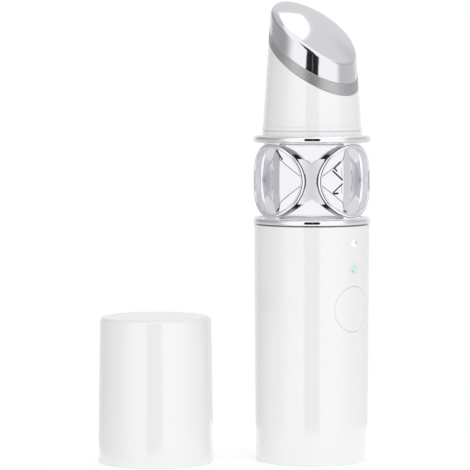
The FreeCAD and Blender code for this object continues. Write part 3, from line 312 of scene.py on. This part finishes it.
def finish_shell(made):
    """The lower light's glow round it, and a dark line of painted shade where the casing meets
    the flange.
    """
    tree = made.node_tree
    glow = fading(tree, distance(tree, LOWER_LIGHT), full=0.9, none=3.0)
    lay_over(made, "Base Color", glow, GLOW_TINT)
    # Painted shade: a dark line along the casing's top, under the flange.
    seam_shade = fading(tree, height_from(tree, CASING_TOP), full=0.12, none=0.32)
    lay_over(made, "Base Color", seam_shade, SEAM_SHADE_TINT)


def finish_cage(made):
    """The web between the hoops is satin and paler, and glows faintly with painted light."""
    tree = made.node_tree
    web = fading(tree, axis_distance(tree), full=15.63, none=15.7)
    lay_over(made, "Roughness", web, WEB_ROUGHNESS)
    lay_over(made, "Base Color", web, WEB_TINT)
    # Painted glow on the web.
    tree.links.new(two_tones(tree, web, UNLIT, WEB_PAINTED_GLOW),
                   tree.nodes["Principled BSDF"].inputs["Emission Color"])


def finish_strips(made):
    """The windows' side walls are painted dark at their ends towards the pillar's waist, as
    painted shade. What lies nearer the collar's middle is painted pale, as painted light."""
    tree = made.node_tree
    rise = height_from(tree, CAGE_MIDDLE)
    # Painted shade at the walls' ends, painted light nearer the collar's middle.
    lay_over(made, "Base Color", fading(tree, rise, full=7.1, none=7.7), WALL_PAINTED_SHADE)
    lay_over(made, "Base Color", fading(tree, rise, full=5.4, none=5.8), WALL_PAINTED_LIGHT)


def finish_windows(made):
    """The upper lamp is white with a dark side of painted shade; the lower one is cyan with a
    dark spot.
    """
    tree = made.node_tree
    lower = fading(tree, distance(tree, LOWER_LIGHT), full=3.0, none=4.0)
    tree.links.new(two_tones(tree, lower, UPPER_EMISSION, LOWER_EMISSION),
                   tree.nodes["Principled BSDF"].inputs["Emission Color"])
    lay_over(made, "Base Color", lower, LOWER_TINT)
    # The upper spot is painted shade on the lamp's side.
    for spot, full, none in ((UPPER_SHADE_SPOT, 0.35, 0.75), (LOWER_SPOT, 0.1, 0.45)):
        mask = fading(tree, distance(tree, spot), full, none)
        lay_over(made, "Base Color", mask, SPOT_TINT)
        lay_over(made, "Emission Color", mask, UNLIT)


def finish_core(made):
    """Dark reflections of the collar on the core's facets beside the front pillar."""
    tree = made.node_tree
    ahead = Matrix.Rotation(COLLAR_TURN, 3, "Z") @ FRONT_PILLAR
    seen = add(tree, "CombineXYZ")
    feed(tree, seen, (component(tree, (-ahead.y, ahead.x, 0.0)), component(tree, UP)))
    front = fading(tree, component(tree, ahead), full=6.0, none=5.0)
    for side, rise, side_end, rise_end, half, depth in STROKES:
        start = (side * MM, CAGE_MIDDLE + rise * MM, 0.0)
        line = Vector((side_end - side, rise_end - rise, 0.0)) * MM
        away = vector_maths(tree, "SUBTRACT", seen.outputs["Vector"], start)
        share = add(tree, "Clamp")
        feed(tree, share, [vector_maths(tree, "DOT_PRODUCT", away, line / line.length_squared)])
        foot = vector_maths(tree, "MULTIPLY", share.outputs["Result"], line)
        gap = vector_maths(tree, "DISTANCE", away, foot)
        near = fading(tree, gap, full=half - STROKE_SOFT, none=half + STROKE_SOFT)
        mask = maths(tree, "MULTIPLY", maths(tree, "MULTIPLY", near, depth), front)
        lay_over(made, "Base Color", mask, STROKE_TINT)


def dress_solids():
    """Every solid gets the finish of its slot."""
    for node, slot in slots.items():
        mesh = nodes[node].data
        for index in range(len(mesh.materials)):
            mesh.materials[index] = FINISHES[slot]


finish_shell(FINISHES["white_shell"])
finish_cage(FINISHES["polished_cage"])
finish_strips(FINISHES["cage_strips"])
finish_windows(FINISHES["clear_window"])
finish_core(FINISHES["jewel_mirror"])
dress_solids()


# ---- pieces made here ----

SMOOTH_BELOW = 32 * DEGREE  # folds below this angle are shaded smooth
FRONT_COSINE = 0.8  # for directions within about 37 degrees of the front pillar's

# The collar: how near the CAD model's flanges, web and opening walls a point counts as on
# them; the hoop beads, with a dark line of painted shade at their outer foot; the flanges'
# rims;
# by how much the openings grow; steps round a hoop, its bead, a flange and its rim.
FLANGE_SLACK = 0.01 * MM
HOOP_SLACK = 0.1 * MM
WALL_SLACK = 0.03 * MM
BEAD_HALF_WIDTH = 0.47 * MM
BEAD_HALF_HEIGHT = 0.585 * MM
FLANGE_BULGE = 0.78 * MM
OPENING_GROWTH = 0.19 * MM
HOOP_STEPS = 144
BEAD_STEPS = 24
# Steps of the bead that carry its dark line of painted shade.
BEAD_SHADE_STEPS = range(2)  # of the bead
RING_STEPS = 160
RIM_STEPS = 16
# The slanting side walls of its windows: how far they reach from the collar's middle, the
# most that their normals point outwards and the least that these point up or down.
WALL_REACH = 9.5 * MM
WALL_OUTWARD = 0.7
WALL_UPWARD = 0.5

# The core: how far a lens facet's normal may point up or down and be from LENS_TURN
# (degrees); where the CAD strips' corners are, and where they go.  The strips are straight
# above the foot of the belt and lean in below it, by a share of the depth.
WELD = 0.001 * MM
FLAT = 0.5 * DEGREE
LENS_UPWARD = 0.2
LENS_SLACK = 2
STRIP_REACH = 13.2 * MM
STRIP_HALF = 2.3 * MM
STRIP_SHARE = 0.67
BELT_HALF = 3.66 * MM
BELT_REACH = 13.53 * MM
STRIP_LEAN = 0.06
CORE_EDGE = 0.2 * MM
EDGE_FOLDS = (2, 60)  # degrees; a lens facet's folds outside these keep their sharp edge

RIM_SLACK = 0.02 * MM
BUTTON_GROWTH = 0.07 * MM


def solid_copy(node):
    """The mesh of a node's solid, to be worked on in the CAD model's frame."""
    work = bmesh.new()
    work.from_mesh(nodes[node].data)
    work.transform(nodes[node].matrix_world)
    return work


def new_piece(name, work, body, node, others=(), smooth=True):
    """A piece that stands in for one node of the CAD model and moves with its body. Its
    first material is the node's own finish, and the others follow."""
    mesh = bpy.data.meshes.new(name)
    work.to_mesh(mesh)
    work.free()
    if smooth:
        mesh.shade_smooth()
        mesh.set_sharp_from_angle(angle=SMOOTH_BELOW)
    for finish in (slots[node], *others):
        mesh.materials.append(FINISHES[finish])
    piece = bpy.data.objects.new(name, mesh)
    bpy.context.scene.collection.objects.link(piece)
    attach(piece, body)
    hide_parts(node)


def add_tube(work, rows, shaded=(), shade_index=0):
    """Join rows of points into a closed skin; each row is a closed loop of the same length.
    The stretches of a row that are listed as shaded get another material of the mesh, a painted
    shade."""
    loops = [[work.verts.new(point) for point in row] for row in rows]
    count = len(loops[0])
    for first, second in zip(loops, loops[1:] + loops[:1]):
        for i in range(count):
            j = (i + 1) % count
            face = work.faces.new((first[i], first[j], second[j], second[i]))
            if i in shaded:
                face.material_index = shade_index


def hoop_rows(facing):
    """A rounded bead on the collar's web, round the opening that faces this way."""
    rows = []
    for i in range(HOOP_STEPS):
        round_hoop = 2 * math.pi * i / HOOP_STEPS
        row = []
        for k in range(BEAD_STEPS):
            round_bead = 2 * math.pi * k / BEAD_STEPS
            reach = HOOP_RADIUS + BEAD_HALF_WIDTH * math.cos(round_bead)
            out = WEB_RADIUS + BEAD_HALF_HEIGHT * math.sin(round_bead)
            side = reach * math.cos(round_hoop)
            front = math.sqrt(out * out - side * side)
            row.append((front * math.cos(facing) - side * math.sin(facing),
                        front * math.sin(facing) + side * math.cos(facing),
                        CAGE_MIDDLE + reach * math.sin(round_hoop)))
        rows.append(row)
    return rows


def flange_rows(foot):
    """A flat ring whose rim is drawn out into a half-ellipse."""
    half = FLANGE_THICKNESS / 2
    section = [(CAGE_BORE, foot + FLANGE_THICKNESS), (CAGE_BORE, foot)]
    for k in range(RIM_STEPS + 1):
        turn = math.pi * k / RIM_STEPS - math.pi / 2
        section.append((FLANGE_RADIUS - FLANGE_BULGE + FLANGE_BULGE * math.cos(turn),
                        foot + half + half * math.sin(turn)))
    rows = []
    for i in range(RING_STEPS):
        turn = 2 * math.pi * i / RING_STEPS
        rows.append([(reach * math.cos(turn), reach * math.sin(turn), rise)
                     for reach, rise in section])
    return rows


def drop_rims(work):
    """Take away the CAD collar's flanges and the crests of its hoops."""
    low = CASING_TOP + FLANGE_THICKNESS + FLANGE_SLACK
    high = CASING_TOP + CAGE_HEIGHT - FLANGE_THICKNESS - FLANGE_SLACK
    web = WEB_RADIUS + HOOP_SLACK
    gone = []
    for face in work.faces:
        heights = [vertex.co.z for vertex in face.verts]
        reaches = [math.hypot(vertex.co.x, vertex.co.y) for vertex in face.verts]
        if max(heights) <= low or min(heights) >= high or min(reaches) > web:
            gone.append(face)
    bmesh.ops.delete(work, geom=gone, context="FACES")


def is_window_side(face):
    """Whether a face of the collar is a slanting side wall of the front pillar's windows."""
    middle = face.calc_center_median()
    outward = Vector((middle.x, middle.y, 0.0)).normalized()
    return (outward.dot(FRONT_PILLAR) > FRONT_COSINE
            and abs(face.normal.dot(outward)) < WALL_OUTWARD
            and abs(face.normal.z) > WALL_UPWARD
            and abs(middle.z - CAGE_MIDDLE) < WALL_REACH)


def widen_openings(work):
    """Draw the walls of the round openings out by a little, each point on its cylinder."""
    for vertex in work.verts:
        reach = math.hypot(vertex.co.x, vertex.co.y)
        rise = vertex.co.z - CAGE_MIDDLE
        for front, side in ((Vector((1, 0, 0)), Vector((0, 1, 0))),
                            (Vector((0, 1, 0)), Vector((-1, 0, 0)))):
            across = vertex.co.dot(side)
            ahead = vertex.co.dot(front)
            away = math.hypot(across, rise)
            if abs(ahead) > abs(across) and abs(away - OPENING_RADIUS) < WALL_SLACK:
                grown = (OPENING_RADIUS + OPENING_GROWTH) / away
                drawn = math.copysign(math.sqrt(reach ** 2 - (across * grown) ** 2), ahead)
                vertex.co = (front * drawn + side * across * grown
                             + Vector((0, 0, CAGE_MIDDLE + rise * grown)))
                break


def make_cage():
    """The CAD collar's web and flanks, with rounded beads on the hoops and round rims."""
    work = solid_copy("jewel_cage")
    drop_rims(work)
    for face in work.faces:
        if is_window_side(face):
            face.material_index = 1
    widen_openings(work)
    for quarter in range(4):
        # Each bead's outer foot takes the jewel_edge finish, as a line of painted shade.
        add_tube(work, hoop_rows(quarter * math.pi / 2), shaded=BEAD_SHADE_STEPS, shade_index=2)
    for foot in (CASING_TOP, CASING_TOP + CAGE_HEIGHT - FLANGE_THICKNESS):
        add_tube(work, flange_rows(foot))
    work.transform(Matrix.Rotation(COLLAR_TURN, 4, "Z"))
    new_piece("rounded_cage", work, "wand", "jewel_cage", ("cage_strips", "jewel_edge"))


def is_lens(normal):
    """Whether a facet of the core is an upright one beside the front pillar."""
    turn = math.degrees(math.atan2(normal.y, normal.x)) % 90
    return (abs(normal.z) < LENS_UPWARD and abs(abs(turn - 45) - LENS_TURN) < LENS_SLACK
            and normal.dot(FRONT_PILLAR) > FRONT_COSINE)


def narrow_strips(work):
    """Draw the corners of the core's upright strips together and set them straight."""
    for vertex in work.verts:
        for across, ahead in ((0, 1), (1, 0)):
            if abs(vertex.co[ahead]) > STRIP_REACH and abs(vertex.co[across]) < STRIP_HALF:
                sunk = max(0.0, CAGE_MIDDLE - BELT_HALF - vertex.co.z)
                reach = BELT_REACH - STRIP_LEAN * sunk
                vertex.co[ahead] = math.copysign(reach, vertex.co[ahead])
                vertex.co[across] *= STRIP_SHARE


def make_core():
    """The CAD core with narrower strips, and with dark edges, painted reflections, on the lens
    facets in front.
    """
    work = solid_copy("faceted_core")
    bmesh.ops.remove_doubles(work, verts=work.verts, dist=WELD)
    bmesh.ops.dissolve_limit(work, angle_limit=FLAT, verts=work.verts, edges=work.edges)
    narrow_strips(work)
    edges = []
    for edge in work.edges:
        lenses = [face for face in edge.link_faces if is_lens(face.normal)]
        fold = math.degrees(edge.calc_face_angle(0.0))
        if len(lenses) == 1 and EDGE_FOLDS[0] < fold < EDGE_FOLDS[1]:
            edges.append(edge)
    # The bevels take the dark jewel_edge finish: painted reflections along the lens facets'
    # edges.
    bmesh.ops.bevel(work, geom=edges, offset=CORE_EDGE, offset_type="WIDTH", segments=1,
                    profile=0.5, affect="EDGES", material=1)
    work.transform(Matrix.Rotation(COLLAR_TURN, 4, "Z"))
    new_piece("edged_core", work, "wand", "faceted_core", ("jewel_edge",), smooth=False)


def make_button():
    """The CAD button, drawn out to a hairline seam."""
    work = solid_copy("power_button")
    for vertex in work.verts:
        reach = math.hypot(vertex.co.x, vertex.co.z - BUTTON_HEIGHT)
        if abs(reach - BUTTON_RADIUS) < RIM_SLACK:
            grown = (BUTTON_RADIUS + BUTTON_GROWTH) / reach
            vertex.co.x *= grown
            vertex.co.z = BUTTON_HEIGHT + (vertex.co.z - BUTTON_HEIGHT) * grown
    new_piece("fitted_button", work, "button", "power_button")


make_cage()
make_core()
make_button()


# ---- stage, light and camera ----

FLOOR_REACH = 75 * MM
FLOOR_SIDES = 96

# Patches of the tent, each laid over the ones before: brightness; turn from the camera's
# direction (positive to its right), half width and softness; rise, half height, softness;
# how much the rise falls with the turn.  Degrees.
TENT = [
    (0.80, 0, 200, 1, 0, 100, 1, 0.0),
    (1.12, 0, 90, 4, 0, 100, 1, 0.0),
    (0.62, -105, 42, 34, 0, 100, 1, 0.0),
    (0.80, 106, 37, 18, 0, 38, 14, 0.0),
    (0.88, 180, 38, 20, 4, 10, 10, 0.0),
    (0.88, -180, 38, 20, 4, 10, 10, 0.0),
    (1.7, 137, 20, 2, 76.6, 25, 2, 0.54),
]
# Darker panels and the dark opening with its thin brighter stand, which diffuse light
# doesn't see: only polished and glossy surfaces show them.
PANELS = [
    (0.37, -108, 38, 34, 16, 14, 16, 0.0),
    (0.57, 104, 33, 18, 16, 14, 16, 0.0),
    (0.68, 128, 14, 16, 28, 12, 8, 0.0),
    (0.02, -1.05, 15.75, 1.5, 0, 40, 8, 0.0),
    (0.35, 0, 0.5, 0.4, 0, 20, 4, 0.0),
]


def inside(tree, source, middle, half, soft):
    """1 within half degrees of the middle, falling to 0 over soft degrees."""
    away = maths(tree, "ABSOLUTE", maths(tree, "SUBTRACT", source, middle * DEGREE))
    return fading(tree, away, full=half - soft / 2, none=half + soft / 2, unit=DEGREE)


def lay_patches(tree, turn, rise, level, rows, share):
    """Lay rows of patches over a level, for the share of the rays that see them."""
    for base, turn_at, turn_half, turn_soft, rise_at, rise_half, rise_soft, lean in rows:
        leaning = maths(tree, "ADD", rise, maths(tree, "MULTIPLY", turn, lean))
        mask = maths(tree, "MULTIPLY", inside(tree, turn, turn_at, turn_half, turn_soft),
                     inside(tree, leaning, rise_at + lean * turn_at, rise_half, rise_soft))
        change = maths(tree, "MULTIPLY", maths(tree, "SUBTRACT", base, level), share)
        level = maths(tree, "ADD", level, maths(tree, "MULTIPLY", mask, change))
    return level


def make_world():
    """A white tent round the wand with a dark upright opening towards the camera."""
    world = bpy.data.worlds.new("tent")
    bpy.context.scene.world = world
    world.use_nodes = True
    tree = world.node_tree
    direction = add(tree, "TexCoord").outputs["Generated"]
    to_camera = (-math.cos(CAMERA_TURN), -math.sin(CAMERA_TURN), 0.0)
    to_right = (math.sin(CAMERA_TURN), -math.cos(CAMERA_TURN), 0.0)
    turn = maths(tree, "ARCTAN2", vector_maths(tree, "DOT_PRODUCT", direction, to_right),
                 vector_maths(tree, "DOT_PRODUCT", direction, to_camera))
    rise = maths(tree, "ARCSINE", vector_maths(tree, "DOT_PRODUCT", direction, UP))
    path = add(tree, "LightPath")
    polished = maths(tree, "SUBTRACT", 1.0, path.outputs["Is Diffuse Ray"])
    level = lay_patches(tree, turn, rise, 0.0, TENT, 1.0)
    level = lay_patches(tree, turn, rise, level, PANELS, polished)
    # The camera itself sees plain white behind the wand.
    seen = path.outputs["Is Camera Ray"]
    rest = maths(tree, "SUBTRACT", 1.0, seen)
    background = tree.nodes["Background"]
    background.inputs["Color"].default_value = (1.0, 1.0, 1.0, 1.0)
    tree.links.new(maths(tree, "ADD", seen, maths(tree, "MULTIPLY", rest, level)),
                   background.inputs["Strength"])


def make_camera():
    optics = bpy.data.cameras.new("camera")
    optics.lens = CAMERA_LENS
    optics.sensor_width = SENSOR_WIDTH
    optics.clip_start = NEAR_LIMIT
    optics.clip_end = FAR_LIMIT
    camera = bpy.data.objects.new("camera", optics)
    bpy.context.scene.collection.objects.link(camera)
    camera.location = CAMERA_PLACE
    looking = Vector((math.cos(CAMERA_TURN) * math.cos(CAMERA_TILT),
                      math.sin(CAMERA_TURN) * math.cos(CAMERA_TILT), -math.sin(CAMERA_TILT)))
    camera.rotation_euler = looking.to_track_quat("-Z", "Y").to_euler()
    bpy.context.scene.camera = camera


def make_floor():
    """A plain pale disc under the wand and the cap."""
    material("floor", (0.8, 0.8, 0.8), 0.6, grain=3.0, relief=0.0, shade=0.99,
             Emission_Color=(1.0, 1.0, 1.0, 1.0), Emission_Strength=0.35)
    turns = [2 * math.pi * i / FLOOR_SIDES for i in range(FLOOR_SIDES)]
    rim = [(FLOOR_REACH * math.cos(turn), FLOOR_REACH * math.sin(turn), 0.0) for turn in turns]
    mesh = bpy.data.meshes.new("floor")
    mesh.from_pydata(rim, [], [range(FLOOR_SIDES)])
    mesh.materials.append(FINISHES["floor"])
    floor = bpy.data.objects.new("floor", mesh)
    bpy.context.scene.collection.objects.link(floor)


make_world()
make_camera()
make_floor()

bpy.context.scene.view_settings.view_transform = "Standard"
